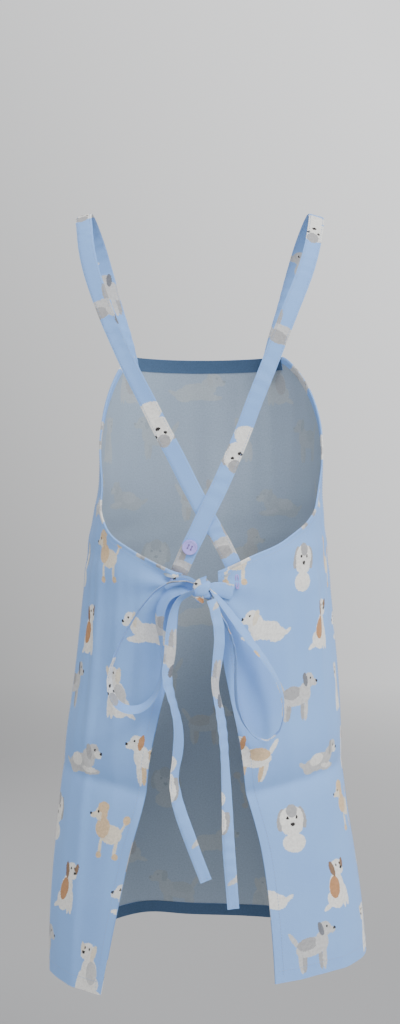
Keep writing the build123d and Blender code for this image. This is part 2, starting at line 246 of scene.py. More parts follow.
def printed_pattern():
    """A node group that gives the printed cloth's colour from the cloth's own metre-scale map."""
    tree = bpy.data.node_groups.new("dog_print", "ShaderNodeTree")
    tree.interface.new_socket("Colour", in_out="OUTPUT", socket_type="NodeSocketColor")
    r = Recipe(tree)
    out = tree.nodes.new("NodeGroupOutput")
    chart = r.node("UVMap", uv_map="cloth")
    fur = r.noise(chart, 620, 2.0).outputs["Color"]
    furry = r.node("VectorMath", {0: fur, 1: (0.0034, 0.0034, 0), 2: chart}, operation="MULTIPLY_ADD")
    split = r.node("SeparateXYZ", {0: furry})
    v = r.math("DIVIDE", split.outputs[1], DOWN * MM)
    row = r.math("FLOOR", v)
    every_other = r.math("MULTIPLY", r.math("FLOORED_MODULO", row, 2.0), 0.5)
    u = r.math("ADD", r.math("DIVIDE", split.outputs[0], ACROSS * MM), every_other)
    column = r.math("FLOOR", u)

    def from_middle(at, cell, size, stray, by_row, by_column):
        phase = r.math("MULTIPLY_ADD", row, by_row, r.math("MULTIPLY", column, by_column))
        off = r.math("MULTIPLY", r.math("SINE", phase), stray)
        part = r.math("SUBTRACT", r.math("SUBTRACT", at, cell), 0.5)
        return r.math("MULTIPLY_ADD", part, size, off)

    local_u = from_middle(u, column, ACROSS, STRAY_ACROSS, 12.9, 7.3)
    local_v = from_middle(v, row, DOWN, STRAY_DOWN, 3.7, 11.1)
    pair = r.math("FLOORED_MODULO", column, 2.0)
    which = r.math("MULTIPLY_ADD", r.math("FLOORED_MODULO", row, 4.0), 2.0, pair)
    colour = r.mix(
        r.speckle(chart, 14, 2.0, 0.0, 1.0),
        (BLUE[0] * 0.97, BLUE[1] * 0.975, BLUE[2] * 0.985, 1),
        (BLUE[0] * 1.03, BLUE[1] * 1.025, BLUE[2] * 1.01, 1),
    )
    ink = 0.0
    for number, (facing, ovals) in enumerate(DOGS):
        elsewhere = r.math("ABSOLUTE", r.math("SUBTRACT", which, float(number)))
        across = r.math("MULTIPLY_ADD", local_u, float(facing), r.math("MULTIPLY", elsewhere, 900.0))
        place = r.node("CombineXYZ", {0: across, 1: local_v, 2: 1.0})
        for *oval, paint in ovals:
            inside = r.math("LESS_THAN", oval_reach(r, place, *oval), 1.0)
            colour = r.mix(inside, colour, paint)
            ink = r.math("MAXIMUM", ink, inside)
    strokes = r.noise(chart, 260, 3.0, 0.7)
    drawn = r.toned(colour, r.remap(strokes, 0.25, 0.75, 0.78, 1.12))
    r.feed(out.inputs[0], r.mix(ink, colour, drawn))
    return tree


PRINT = printed_pattern()

# ---------------------------------------------------------------- materials


def surface(name, sockets_of):
    """A material whose surface has the sockets that sockets_of gives from its recipe."""
    made = bpy.data.materials.new(name)
    made.use_nodes = True
    r = Recipe(made.node_tree)
    r.node("OutputMaterial", {0: r.node("BsdfPrincipled", sockets_of(r))})
    return made


def face_colour(r, chart):
    return r.toned(r.node("Group", node_tree=PRINT), r.speckle(chart, 900, 2.0, 0.95, 1.04))


def reverse_colour(r, chart):
    """The print shows only faintly through the cloth."""
    faded = r.mix(0.86, r.node("Group", node_tree=PRINT), (0.375, 0.435, 0.480, 1))
    return r.toned(faded, r.speckle(chart, 500, 3.0, 0.90, 1.08))


# The turned hem's face is printed blue; here it is drawn plain and much darker, as painted shade for the
# inside of the apron.
def hem_painted_shade_colour(r, chart):
    return r.toned((0.075, 0.135, 0.235, 1), r.speckle(chart, 500, 3.0, 0.90, 1.08))


def weave(r, chart, strength):
    """A plain weave's bump with the small softness of washed cotton over it."""
    crossing = []
    for way in ("X", "Y"):
        threads = r.node("TexWave", {"Vector": chart, "Scale": 620, "Distortion": 0.4}, bands_direction=way)
        crossing.append(threads.outputs["Fac"])
    threads = r.math("MULTIPLY", r.math("MULTIPLY", *crossing), 0.22)
    return r.bump(r.math("MULTIPLY_ADD", r.noise(chart, 55, 4.0, 0.6), 2.0, threads), strength, 0.0006)


def finish_cloth(name, colour_of, rough=0.86, bump=0.55):
    def sockets_of(r):
        chart = r.node("UVMap", uv_map="cloth")
        # painted shade: a per-point attribute darkens the colour just above the pressed crease and lightens
        # it just below
        pressed = r.node("Attribute", attribute_name="crease_painted_shade")
        shade = r.math("SUBTRACT", 1.0, pressed.outputs["Fac"])
        return {
            "Base Color": r.toned(colour_of(r, chart), shade),
            "Roughness": rough,
            "Specular IOR Level": 0.22,
            "Sheen Weight": 0.12,
            "Sheen Roughness": 0.45,
            "Normal": weave(r, chart, bump),
        }

    return surface(name, sockets_of)


def thread_material(name, colour):
    def sockets_of(r):
        fibre = r.noise(r.node("TexCoord").outputs["Object"], 2600, 2.0)
        return {
            "Base Color": r.toned(colour, r.remap(fibre, 0.3, 0.7, 0.82, 1.1)),
            "Roughness": 0.55,
            "Sheen Weight": 0.3,
            "Normal": r.bump(fibre, 0.5, 0.0002),
        }

    return surface(name, sockets_of)


def pearly(r):
    """The buttons' cloudy lilac resin."""
    place = r.node("TexCoord").outputs["Object"]
    cloud = r.noise(place, 160, 3.0, 0.6)
    return {
        "Base Color": r.mix(r.remap(cloud, 0.3, 0.7, 0.0, 1.0), (0.36, 0.31, 0.86, 1), (0.45, 0.40, 0.92, 1)),
        "Roughness": r.speckle(place, 900, 2.0, 0.20, 0.32),
        "Coat Weight": 0.35,
        "Coat Roughness": 0.15,
        "Subsurface Weight": 0.08,
        "Subsurface Radius": (0.002, 0.002, 0.003),
        "Normal": r.bump(cloud, 0.08, 0.0003),
    }


CLOTH_FACE = finish_cloth("printed_cotton", face_colour)
CLOTH_REVERSE = finish_cloth("printed_cotton_reverse", reverse_colour, 0.9, 0.6)
# painted shade: the turned hems' inner faces in a plain dark blue
HEM_PAINTED_SHADE = finish_cloth("turned_hem_cotton_painted_shade", hem_painted_shade_colour, 0.9, 0.6)
LILAC_THREAD = thread_material("lilac_thread", (0.42, 0.31, 0.78, 1))
BLUE_THREAD = thread_material("pale_blue_thread", (0.34, 0.47, 0.72, 1))
BUTTON_THREAD = thread_material("button_thread", (0.24, 0.17, 0.46, 1))
BUTTON = surface("lilac_button", pearly)

# ---------------------------------------------------------------- making and finishing meshes


def make_mesh(name, points, faces, *finishes):
    mesh = bpy.data.meshes.new(name)
    mesh.from_pydata([tuple(p) for p in points], [], faces)
    mesh.update()
    for finish in finishes:
        mesh.materials.append(finish)
    made = bpy.data.objects.new(name, mesh)
    bpy.context.collection.objects.link(made)
    return made


def only(made):
    bpy.ops.object.select_all(action="DESELECT")
    made.select_set(True)
    bpy.context.view_layer.objects.active = made


def face_out_and_smooth(made, angle, weld=0.0):
    """Joins corners nearer than weld, turns all faces outwards and smooths edges softer than an angle."""
    only(made)
    bpy.ops.object.mode_set(mode="EDIT")
    bpy.ops.mesh.select_all(action="SELECT")
    if weld:
        bpy.ops.mesh.remove_doubles(threshold=weld)
    bpy.ops.mesh.normals_make_consistent(inside=False)
    bpy.ops.object.mode_set(mode="OBJECT")
    bpy.ops.object.shade_smooth_by_angle(angle=math.radians(angle))


def belongs(piece, body, slot, *nodes):
    """Says which body a piece rides on and hides the nodes it stands for; slot, what it is made of, is not
    used.
    """
    if body:
        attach(piece, body)
    if nodes:
        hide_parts(*nodes)
    return piece


def tube_faces(rings, around, first=0, closed=False):
    """Faces of a tube of rings of points, with flat ends unless it closes on itself."""
    faces = []
    for i in range(rings if closed else rings - 1):
        a, b = first + i * around, first + (i + 1) % rings * around
        for k in range(around):
            n = (k + 1) % around
            faces.append((a + k, b + k, b + n, a + n))
    if not closed:
        last = first + (rings - 1) * around
        faces.append(tuple(range(first, first + around)))
        faces.append(tuple(reversed(range(last, last + around))))
    return faces


# ---------------------------------------------------------------- ribbons, ties and stitches


def unit(v):
    return v / np.maximum(np.linalg.norm(v, axis=-1, keepdims=True), 1e-12)


def spline_line(name, points):
    """Points in metres along the smooth line of a tie, read from a spline in millimetres."""
    curve = bpy.data.curves.new(name, "CURVE")
    curve.dimensions = "3D"
    curve.resolution_u = 10
    spline = curve.splines.new("NURBS")
    spline.points.add(len(points) - 1)
    for point, (x, y, z) in zip(spline.points, points):
        point.co = (x * MM, y * MM, z * MM, 1)
    spline.order_u = 3
    spline.use_endpoint_u = True
    holder = bpy.data.objects.new(name, curve)
    bpy.context.collection.objects.link(holder)
    bpy.context.view_layer.update()
    read = bpy.data.meshes.new_from_object(holder)
    line = np.array([v.co[:] for v in read.vertices])
    bpy.data.objects.remove(holder, do_unlink=True)
    bpy.data.meshes.remove(read)
    return even_steps(line, 0.0035)


def distance_along(line):
    return np.concatenate([[0], np.cumsum(np.linalg.norm(np.diff(line, axis=0), axis=1))])


def even_steps(line, step):
    """The same line with points at even distances."""
    run = distance_along(line)
    at = np.linspace(0, run[-1], max(4, int(round(run[-1] / step))) + 1)
    return read_line(line, run, at)


def read_line(line, run, at):
    return np.stack([np.interp(at, run, line[:, k]) for k in range(3)], 1)


def smoothed(line, times):
    line = line.copy()
    for _ in range(times):
        line[1:-1] = (line[:-2] + 2 * line[1:-1] + line[2:]) / 4
    return line


def table_at(table, count):
    """A table of (part of the way, value) read at even places, with soft turns."""
    at, value = zip(*table)
    return smoothed(np.interp(np.linspace(0, 1, count), at, value), 6)


def directions(line, closed=False):
    return unit(np.roll(line, -1, 0) - np.roll(line, 1, 0) if closed else np.gradient(line, axis=0))


def ribbon_frame(line, width_way, closed=False):
    """A ribbon's own width direction and outward direction all along it."""
    tangent = directions(line, closed)
    width_way = unit(width_way - tangent * np.sum(width_way * tangent, -1, keepdims=True))
    return width_way, unit(np.cross(tangent, width_way))


ACROSS_STEPS = 8


def ribbon(name, line, width_way, half_width, thick, crown, chart_from, closed=False, pucker=0.0):
    """A sewn band of cloth along a line: flat, a little rounded at its edges, with its own map."""
    count = len(line)
    half_width = np.broadcast_to(half_width, (count,))
    crown = np.broadcast_to(crown, (count,))
    width_way, normal = ribbon_frame(line, width_way, closed)
    a = np.linspace(-1, 1, ACROSS_STEPS + 1)
    rise = thick / 2 * np.sqrt(np.clip(1 - a**6, 0, 1)) * (0.82 + 0.18 * a**2)
    top = list(zip(a, rise))
    low = [(x, -h) for x, h in reversed(top[1:-1])]
    ring = np.array(top + low)
    m = len(ring)
    along_it = distance_along(line)
    wave = 2 * math.pi * (along_it / 0.0165 + 0.35 * np.sin(along_it * 31 + chart_from[0] * 50))
    depth = pucker * (0.45 + 0.55 * np.sin(along_it * 47 + chart_from[1] * 90))
    lean = ring[None, :, 0] * 0.9 * np.sin(along_it * 23)[:, None]
    puckers = depth[:, None] * np.sin(wave[:, None] + lean)
    points = (
        line[:, None]
        + normal[:, None] * puckers[..., None]
        + width_way[:, None] * (ring[None, :, 0] * half_width[:, None])[..., None]
        + normal[:, None] * (ring[None, :, 1] + crown[:, None] * (1 - ring[None, :, 0] ** 2))[..., None]
    )
    made = make_mesh(name, points.reshape(-1, 3), tube_faces(count, m, closed=closed), CLOTH_FACE)
    chart = made.data.uv_layers.new(name="cloth")
    run = distance_along(line)
    if closed:
        run = np.append(run, run[-1] + np.linalg.norm(line[0] - line[-1]))
    wide = float(np.median(half_width))
    girth = np.concatenate([a + 1, 3 - a[::-1][1:]])[: m + 1] * wide
    uv = []
    for i in range(count if closed else count - 1):
        for k in range(m):
            for di, dk in ((0, 0), (1, 0), (1, 1), (0, 1)):
                uv.append((chart_from[0] + girth[k + dk], chart_from[1] + run[i + di]))
    if not closed:
        uv += [(chart_from[0] + girth[k], chart_from[1]) for k in range(m)]
        uv += [(chart_from[0] + girth[k], chart_from[1] + run[-1]) for k in reversed(range(m))]
    chart.data.foreach_set("uv", np.array(uv).reshape(-1))
    face_out_and_smooth(made, 60)
    return made


def raised_stitch(points, faces, rings, radius, round_over):
    """Adds a stitch of five-point rings. A ring is a place, an up and a side direction, a size and a lift."""
    faces += tube_faces(len(rings), 5, len(points))
    for place, up, side, size, lift in rings:
        for corner in range(5):
            turn = 2 * math.pi * corner / 5
            rise = lift + round_over * size * math.sin(turn)
            points.append(place + up * radius * rise + side * radius * size * math.cos(turn))


def stitches(name, rows, thread=None, length=0.0024, gap=0.0011, radius=0.00026):
    """Rows of small sewn stitches. Each row is a line of places and the outward direction at each."""
    points = []
    faces = []
    for line, outward in rows:
        run = distance_along(line)
        for k in range(int(run[-1] // (length + gap))):
            at = np.array([0.0, 0.25, 0.75, 1.0]) * length + k * (length + gap) + gap / 2
            place = read_line(line, run, at)
            up = unit(read_line(outward, run, at))
            side = unit(np.cross(unit(place[-1] - place[0]), up))
            rings = zip(place, up, side, (0.35, 1.0, 1.0, 0.35), (-0.4, 0.6, 0.6, -0.4))
            raised_stitch(points, faces, list(rings), radius, 0.8)
    made = make_mesh(name, points, faces, thread or BLUE_THREAD)
    face_out_and_smooth(made, 70)
    return made


def ribbon_rows(line, width_way, half_width, thick, crown, where):
    """Lines for stitches on both faces of a band, at parts of its half-width."""
    width_way, normal = ribbon_frame(line, width_way)
    rows = []
    for part in where:
        middle = line + width_way * np.reshape(half_width * part, (-1, 1))
        middle = middle + normal * np.reshape(crown * (1 - part**2), (-1, 1))
        rows += [(middle + normal * face * thick * 0.5, normal * face) for face in (1, -1)]
    return rows


TIE_HALF = 0.007
TIE_THICK = 0.0013
LOOP_Y = 137.7
LEFT_TAIL_Y = 148.3
RIGHT_TAIL_Y = 151.6

# the lines of the ties as they hang, across and up, millimetres
LEFT_LOOP = [
    (2, -453), (22, -448), (45, -455), (65, -475), (85, -506), (99, -535), (106, -566), (98, -592),
    (76, -600), (55, -589), (43, -560), (43.5, -525), (48, -495), (42, -469), (23, -458), (3, -461),
]
RIGHT_LOOP = [
    (-12, -459), (-24, -473), (-40, -494), (-59, -520), (-77, -543), (-92, -568), (-98, -598), (-92, -625),
    (-73, -636), (-54, -622), (-42, -595), (-41, -562), (-41.5, -532), (-33, -506), (-22, -486), (-12, -468),
]
LEFT_TAIL = [
    (6, -461), (19, -465), (29, -478), (33, -502), (34, -532), (39, -560), (31, -587), (24, -615),
    (25, -648), (31, -677), (25, -708), (13, -741), (3, -768), (-7, -793),
]
RIGHT_TAIL = [
    (-13, -470), (-20, -490), (-23, -514), (-20, -541), (-16, -568), (-23, -597), (-27, -628), (-29, -664),
    (-31, -704), (-32, -744), (-35, -784), (-38, -822),
]


def tie(name, route, at_y, flat, turns, node, body, chart_from, far_end, sway):
    """One limb of the bow: a flat sewn tie. turns is its twist in degrees, and sway its way back or forth."""
    line = spline_line(name + "_line", [(x, at_y, z) for x, z in route])
    line[:, 1] += table_at(sway, len(line))
    twist = np.radians(table_at(turns, len(line)))[:, None]
    behind = np.array([[0.0, 1.0, 0.0]])
    in_plane = unit(np.cross(directions(line), behind))
    if flat:
        way = in_plane * np.cos(twist) + behind * np.sin(twist)
    else:
        way = behind * np.cos(twist) + in_plane * np.sin(twist)
    half = TIE_HALF * (1 - 0.03 * np.cos(distance_along(line) * 55))
    crown = 0.0009 * np.sin(distance_along(line) * 38)
    made = ribbon(name, line, way, half, TIE_THICK, crown, chart_from, pucker=0.0005)
    rows = ribbon_rows(line, way, half, TIE_THICK, crown, (0.72,))
    if far_end == "bare":
        across, normal = ribbon_frame(line, way)
        for face in (1, -1):
            t = np.linspace(-0.72, 0.72, 8)[:, None]
            rows.append((
                line[-2] + across[-2] * t * TIE_HALF + normal[-2] * face * TIE_THICK * 0.5,
                np.repeat(normal[-2:-1] * face, 8, 0),
            ))
    sewing = stitches(name + "_stitching", rows)
    belongs(made, body, "tie_cloth", node)
    belongs(sewing, body, "tie_cloth")


tie(
    "left_bow_loop", LEFT_LOOP, LOOP_Y, False,
    [(0, 4), (0.10, 8), (0.22, 5), (0.36, 8), (0.44, 26), (0.54, 40), (0.62, 24), (0.70, 6), (0.78, 16),
     (0.86, 60), (0.93, 52), (1, 12)],
    "left_loop", "apron", (0.031, 0.012), "object",
    [(0, 0), (0.3, 0.0), (0.5, 0.001), (0.7, 0.001), (0.86, -0.001), (1, 0)],
)
tie(
    "right_bow_loop", RIGHT_LOOP, LOOP_Y, False,
    [(0, 10), (0.05, 30), (0.14, 40), (0.26, 28), (0.36, 12), (0.46, 4), (0.56, 6), (0.68, 12), (0.8, 6),
     (0.9, 10), (1, 8)],
    "right_loop", "apron", (0.172, 0.118), "object",
    [(0, 0), (0.3, 0.001), (0.5, 0.0015), (0.8, 0.001), (1, 0)],
)
tie(
    "left_tie_tail", LEFT_TAIL, LEFT_TAIL_Y, True,
    [(0, 66), (0.08, 58), (0.15, 38), (0.22, 20), (0.32, 34), (0.40, 60), (0.46, 50), (0.55, 30), (0.63, 48),
     (0.72, 22), (0.85, 6), (1, 4)],
    "left_tail", "left_tail", (0.046, -0.047), "bare",
    [(0, 0), (0.25, 0.001), (0.47, 0.0012), (0.60, -0.0055), (0.75, -0.005), (1, -0.003)],
)
tie(
    "right_tie_tail", RIGHT_TAIL, RIGHT_TAIL_Y, True,
    [(0, 40), (0.06, 30), (0.18, 32), (0.30, 56), (0.40, 44), (0.52, 52), (0.62, 34), (0.75, 18), (0.9, 8),
     (1, 6)],
    "right_tail", "right_tail", (0.049, -0.062), "bare",
    [(0, 0), (0.34, 0.0005), (0.52, 0.0045), (0.72, 0.0045), (1, 0.003)],
)


def strip_end(name, points, upward, half_widths, turns, chart_from, crown, step=None):
    """A short open end of cloth. upward gives its width direction, from which turns twists it, in degrees."""
    line = spline_line(name + "_line", points)
    if step:
        line = even_steps(line, step)
    twist = np.radians(table_at(turns, len(line)))[:, None]
    way, other = upward(directions(line))
    way = way * np.cos(twist) + other * np.sin(twist)
    half = table_at(half_widths, len(line)) * MM
    made = ribbon(name, line, way, half, TIE_THICK, crown, chart_from)
    return made, ribbon_rows(line, way, half, TIE_THICK, crown, (0.74,))


def standing_up(tangent):
    upright = unit(np.array([[0.0, 0.0, 1.0]]) - tangent * tangent[:, 2:3])
    return upright, unit(np.cross(tangent, upright))


def lying_flat(tangent):
    behind = np.array([[0.0, 1.0, 0.0]])
    return unit(np.cross(tangent, behind)), behind


# the short ends of the waist ties, between the knot and the back corners
for name, node, points, half_widths, turns, chart_from in (
    (
        "left_tie_end", "left_tie_stub",
        [(-2, 138.5, -462), (6, 138, -456.5), (14, 134, -452), (22, 129.5, -451), (30, 127, -456),
         (38, 124.8, -462)],
        [(0, 5), (0.3, 8), (0.6, 8.4), (1, 8)], [(0, 10), (0.3, 4), (0.6, -6), (1, 4)], (0.3, 0.021),
    ),
    (
        "right_tie_end", "right_tie_stub",
        [(-3, 138.0, -459), (-10, 136.5, -457.5), (-16, 133.5, -457.5), (-22, 130, -459), (-29, 127, -461),
         (-38, 124.8, -463)],
        [(0, 2.0), (0.3, 6), (0.55, 9), (1, 9)], [(0, -16), (0.5, 6), (1, -4)], (0.012, 0.31),
    ),
):
    made, rows = strip_end(name, points, standing_up, half_widths, turns, chart_from, 0.0012)
    belongs(made, "apron", "tie_cloth", node)
    belongs(stitches(name + "_stitching", rows), "apron", "tie_cloth")

# the knot: a gathered core with bands drawn round it
KNOT_AT = np.array([-0.0025, 0.1350, -0.4605])


def knot_core():
    columns, rows = 64, 40
    points = []
    for i in range(rows + 1):
        tilt = math.pi * i / rows
        for k in range(columns):
            turn = 2 * math.pi * k / columns
            gathered = math.sin(tilt)
            fold = 1 + 0.16 * math.sin(5 * turn + 3.0 * math.cos(tilt)) * gathered
            fold += 0.09 * math.sin(11 * turn - 2.0 * math.cos(tilt)) * gathered
            points.append((
                KNOT_AT[0] + 0.0088 * fold * gathered * math.cos(turn) - 0.003 * math.cos(tilt),
                KNOT_AT[1] + 0.0072 * fold * gathered * math.sin(turn),
                KNOT_AT[2] + 0.0128 * math.cos(tilt) * (1 + 0.10 * math.sin(3 * turn)),
            ))
    faces = []
    for i in range(rows):
        for k in range(columns):
            n = (k + 1) % columns
            a, b = i * columns, (i + 1) * columns
            faces.append((a + k, b + k, b + n, a + n))
    made = make_mesh("knot_core", points, faces, CLOTH_FACE)
    face_out_and_smooth(made, 60, 0.00002)
    chart = made.data.uv_layers.new(name="cloth")
    for loop in made.data.loops:
        place = made.data.vertices[loop.vertex_index].co
        chart.data[loop.index].uv = (place.x + 0.058, place.z + 0.965)
    return made


def knot_band(name, centre, slope, reach, depth, half, lean, crown, chart_from):
    """A band drawn round the knot: slope is its direction across the front, in degrees."""
    turn = np.linspace(0, 2 * math.pi, 72, endpoint=False)
    across = np.array([math.cos(math.radians(slope)), 0, math.sin(math.radians(slope))])
    upward = np.array([-across[2], 0, across[0]])
    middle = KNOT_AT + np.array(centre) * MM
    line = (
        middle
        + across * (np.cos(turn) * reach)[:, None]
        + np.array([0, 1.0, 0]) * (np.sin(turn) * depth)[:, None]
        + upward * (lean * np.sin(2 * turn + 0.6))[:, None]
    )
    narrow = half * (1 - 0.42 * np.abs(np.cos(turn)) ** 1.5)
    wave = crown * (1 + 0.8 * np.sin(3 * turn))
    way = np.repeat(upward[None], len(turn), 0)
    return ribbon(name, line, way, narrow, TIE_THICK, wave, chart_from, closed=True)


def knot_flap(name, points, half_widths, turns, chart_from, crown=0.0012):
    """An open end of a band that stands out of the knot."""
    return strip_end(name, points, lying_flat, half_widths, turns, chart_from, crown, 0.0012)[0]


knot_pieces = [
    knot_core(),
    knot_band(
        "knot_wrap_across", (0.8, 0.6, 1.2), -42, 0.0112, 0.0102, 0.0062, 0.0010, 0.0012, (0.21, 0.115)
    ),
    knot_band(
        "knot_wrap_under", (-1.0, -0.8, -3.2), 28, 0.0098, 0.0090, 0.0050, -0.0008, 0.0010, (0.01, 0.31)
    ),
    knot_flap(
        "knot_pointed_end",
        [(5, 143.5, -459.5), (1.5, 145.2, -454.5), (-2.5, 144.6, -449.5), (-7.4, 142.4, -443.6)],
        [(0, 4.5), (0.35, 6.6), (0.7, 4.6), (0.93, 1.2), (1, 0.5)],
        [(0, 12), (0.5, -14), (1, -30)], (0.18, 0.115),
    ),
    knot_flap(
        "knot_lower_fold",
        [(8, 139.5, -456), (3.5, 143.5, -462), (-0.5, 144.5, -468.5), (-3.5, 143.0, -474.5)],
        [(0, 3.5), (0.4, 5.2), (0.8, 3.4), (1, 1.0)], [(0, -30), (0.5, -10), (1, 20)], (0.33, 0.085), 0.0016,
    ),
]
for piece in knot_pieces:
    belongs(piece, "apron", "tie_cloth")
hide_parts("knot")

# ---------------------------------------------------------------- shoulder straps
STRAP_HALF = 0.010
STRAP_THICK = 0.0016
# place and outward direction at each station of one strap, from the bib up and over to the waist, millimetres
STRAP_PATH = [
    (86, -89.5, -196, 0.6, -0.8, 0.05), (91, -79.5, -170, 0.6, -0.8, 0.08), (99, -79, -140, 0.5, -0.86, 0.05),
    (111, -83, -102, 0.42, -0.9, 0.1), (122, -79, -62, 0.38, -0.88, 0.3), (132, -63, -28, 0.34, -0.65, 0.7),
    (140, -36, -6, 0.3, -0.3, 0.92), (144, -4, 0.8, 0.26, 0.02, 0.97), (144, 24, -6, 0.26, 0.32, 0.9),
    (141, 45, -24, 0.28, 0.62, 0.72), (136, 63, -52, 0.3, 0.85, 0.42), (127, 78, -85, 0.3, 0.92, 0.28),
    (111, 92, -128, 0.26, 0.95, 0.18), (96, 100, -165, 0.22, 0.97, 0.12), (79, 105, -205, 0.18, 0.98, 0.07),
    (63, 108, -240, 0.14, 0.99, 0.05), (49, 110, -272, 0.1, 0.99, 0.05), (33, 112, -306, 0.06, 1, 0.05),
    (17, 114, -340, 0.03, 1, 0.04), (1.5, 115.5, -370, 0, 1, 0.03), (-11, 116.5, -394, -0.02, 1, 0.03),
    (-20, 116.6, -411, -0.08, 1, 0.02), (-29, 114.6, -430, -0.18, 0.98, 0),
    (-37, 114.6, -449, -0.22, 0.97, 0), (-44, 114, -468, -0.24, 0.97, 0),
]
# how far both straps sit to the left at each station, and how far the right one is lifted to pass over
SKEW = [0] * 9 + [0, 1, 2, 3, 2.5, 1, -1, -3, -5, -6, -6.5, -8, -8.5, -9, -9, -9]
OVER_LIFT = {17: 1.0, 18: 2.2, 19: 2.6, 20: 2.6, 21: 2.0, 22: 1.0, 23: -2.4, 24: -3.6}


def soft_step(t, h, a, b, slope_a, slope_b):
    """A smooth way from a to b over an interval h, at part t of it."""
    return (
        (2 * t**3 - 3 * t**2 + 1) * a
        + (t**3 - 2 * t**2 + t) * h * slope_a
        + (3 * t**2 - 2 * t**3) * b
        + (t**3 - t**2) * h * slope_b
    )


def rounded_line(stations, per_step=9):
    """A smooth line through stations, each a row of numbers."""
    rows = np.array(stations, float)
    slope = np.gradient(rows, axis=0)
    out = [
        soft_step(k / per_step, 1, rows[i], rows[i + 1], slope[i], slope[i + 1])
        for i in range(len(rows) - 1)
        for k in range(per_step)
    ]
    return np.array(out + [rows[-1]])


def strap(name, node, side, chart_from):
    stations = []
    for k, (x, y, z, nx, ny, nz) in enumerate(STRAP_PATH):
        lift = OVER_LIFT.get(k, 0) if side < 0 else 0
        stations.append((side * x + SKEW[k], y + lift, z, side * nx, ny, nz))
    rows = rounded_line(stations)
    line = rows[:, :3] * MM
    outward = unit(rows[:, 3:])
    way = np.cross(outward, directions(line))
    run = distance_along(line)
    half = STRAP_HALF * (1 + 0.03 * np.sin(run * 21 + side))
    crown = -0.0006 * np.sin(run * 14 + 0.7 * side)
    made = ribbon(name, line, way, half, STRAP_THICK, crown, chart_from, pucker=0.0006)
    belongs(made, "apron", "strap_cloth", node)
    rows = ribbon_rows(line, way, half, STRAP_THICK, crown, (-0.78, 0.78))
    belongs(stitches(name + "_stitching", rows), "apron", "strap_cloth")


strap("left_shoulder_strap", "left_strap", 1, (0.043, -0.0816))
strap("right_shoulder_strap", "right_strap", -1, (0.2745, -0.112))

# ---------------------------------------------------------------- the hanging cloth

HEM_Z = -0.925
BIB_TOP_Z = -0.165

# height against half-width on the wearer's left and right
LEFT_SIDE = [
    (-0.16, 0.118), (-0.22, 0.124), (-0.28, 0.126), (-0.347, 0.127), (-0.381, 0.137), (-0.43, 0.146),
    (-0.494, 0.153), (-0.565, 0.160), (-0.622, 0.167), (-0.69, 0.176), (-0.75, 0.182), (-0.857, 0.191),
    (-0.93, 0.192),
]
RIGHT_SIDE = [
    (-0.16, 0.136), (-0.214, 0.149), (-0.257, 0.154), (-0.301, 0.154), (-0.354, 0.151), (-0.391, 0.155),
    (-0.43, 0.160), (-0.478, 0.166), (-0.526, 0.172), (-0.584, 0.178), (-0.642, 0.181), (-0.69, 0.184),
    (-0.732, 0.189), (-0.807, 0.200), (-0.855, 0.206), (-0.93, 0.213),
]
BACK_DEPTH = [
    (-0.16, 0.084), (-0.255, 0.113), (-0.37, 0.118), (-0.445, 0.1245), (-0.485, 0.1255), (-0.60, 0.130),
    (-0.715, 0.1355), (-0.83, 0.140), (-0.93, 0.143),
]
FRONT_DEPTH = [
    (-0.14, 0.113), (-0.20, 0.131), (-0.255, 0.137), (-0.37, 0.128), (-0.485, 0.1265), (-0.60, 0.136),
    (-0.715, 0.1465), (-0.83, 0.156), (-0.93, 0.162),
]
# height against the back edges' distance from the middle
LEFT_EDGE = [
    (-0.44, 0.0205), (-0.483, 0.0243), (-0.52, 0.028), (-0.55, 0.0335), (-0.613, 0.0500), (-0.656, 0.059),
    (-0.707, 0.0675), (-0.757, 0.082), (-0.80, 0.092), (-0.86, 0.105), (-0.91, 0.115), (-0.93, 0.119),
]
RIGHT_EDGE = [
    (-0.44, 0.0205), (-0.50, 0.0235), (-0.541, 0.0270), (-0.586, 0.0356), (-0.619, 0.0430), (-0.698, 0.0560),
    (-0.763, 0.0715), (-0.814, 0.0790), (-0.857, 0.0835), (-0.911, 0.0875), (-0.93, 0.0885),
]
# angle round from the side towards the back, in degrees, against the cloth's top edge
LEFT_TOP = [
    (-180, -0.165), (-110, -0.165), (-70, -0.165), (-50, -0.165), (-44, -0.165), (-38, -0.1655),
    (-31, -0.178), (-22, -0.203), (-11, -0.240), (0, -0.283), (13.5, -0.330), (23.5, -0.365), (33, -0.384),
    (45, -0.403), (51.5, -0.410), (64, -0.424), (77, -0.438), (90, -0.447),
]
RIGHT_TOP = [
    (-180, -0.165), (-110, -0.165), (-70, -0.165), (-50, -0.165), (-44, -0.165), (-38, -0.1655),
    (-31, -0.176), (-20, -0.205), (-8, -0.250), (3, -0.300), (15, -0.350), (30.6, -0.379), (44, -0.396),
    (51, -0.405), (68, -0.422), (78, -0.434), (90, -0.446),
]
CENTRE_Y = -0.003


def along(table, at):
    """A smooth curve through a table of (place, value), read at one place or many."""
    xs, ys = np.array(sorted(table), float).T
    slope = np.gradient(ys, xs)
    at = np.clip(np.asarray(at, float), xs[0], xs[-1])
    i = np.clip(np.searchsorted(xs, at) - 1, 0, len(xs) - 2)
    h = xs[i + 1] - xs[i]
    return soft_step((at - xs[i]) / h, h, ys[i], ys[i + 1], slope[i], slope[i + 1])


def turn_at(s, z):
    """Angle round the body of a place s (0 at the left back edge, 1 at the right) at height z."""
    left = np.degrees(np.arccos(along(LEFT_EDGE, z) / along(LEFT_SIDE, z)))
    right = np.degrees(np.arccos(along(RIGHT_EDGE, z) / along(RIGHT_SIDE, z)))
    return left - s * (left + 180 + right), left, right


